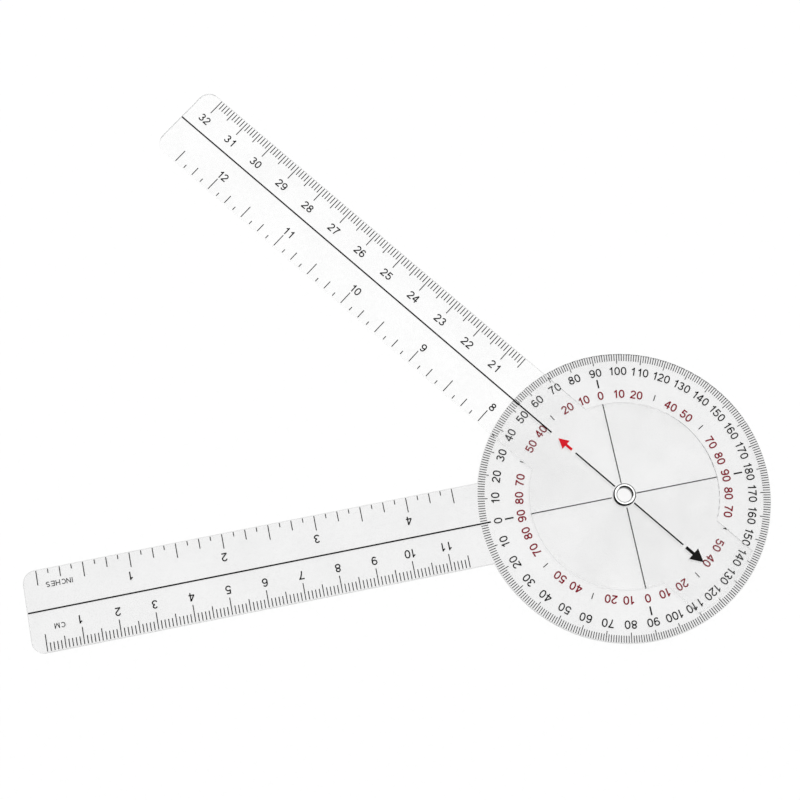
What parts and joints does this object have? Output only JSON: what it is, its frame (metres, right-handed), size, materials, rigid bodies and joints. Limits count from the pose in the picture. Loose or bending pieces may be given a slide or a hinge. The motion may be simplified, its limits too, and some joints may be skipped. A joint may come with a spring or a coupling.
{
  "type": "goniometer",
  "caption": "Flat clear plastic goniometer for joint angles: a dial with a fixed ruler arm and a moving ruler arm that turns on a hollow metal eyelet.",
  "frame": {"origin": "on the eyelet's axis, at the printed face of the dial, inside the eyelet's bore", "axes": "+Z along the eyelet, out of the printed side; -X along the fixed arm, towards its end; the moving arm rests 53 degrees clockwise from it, on the +Y side"},
  "size_m": [0.204, 0.1777, 0.0036],
  "materials": {
    "clear_sheet": "clear, glossy, faintly grey",
    "eyelet_metal": "polished nickel plate",
    "black_ink": "screen-printed ink",
    "red_ink": "screen-printed ink"
  },
  "bodies": {
    "fixed_arm": {"fixed_arm_dial": "clear_sheet", "pivot_eyelet": "eyelet_metal", "dial_degree_ticks": "black_ink", "dial_quadrant_lines": "black_ink", "dial_cardinal_dashes": "black_ink", "dial_supplement_dashes": "black_ink", "fixed_arm_centre_line": "black_ink", "fixed_arm_centimetre_ticks": "black_ink", "fixed_arm_inch_ticks": "black_ink"},
    "moving_arm": {"moving_arm": "clear_sheet", "moving_arm_centre_line": "black_ink", "moving_arm_centimetre_ticks": "black_ink", "moving_arm_inch_ticks": "black_ink", "pointer_line_arm_side": "black_ink", "pointer_line_tail_side": "black_ink", "red_arrow": "red_ink", "black_arrow": "black_ink"}
  },
  "joints": [
    {"name": "arm_hinge", "type": "hinge", "parent": "fixed_arm", "child": "moving_arm", "pos_m": [0, 0, 0], "axis": [0, 0, 1], "continuous": true}
  ]
}
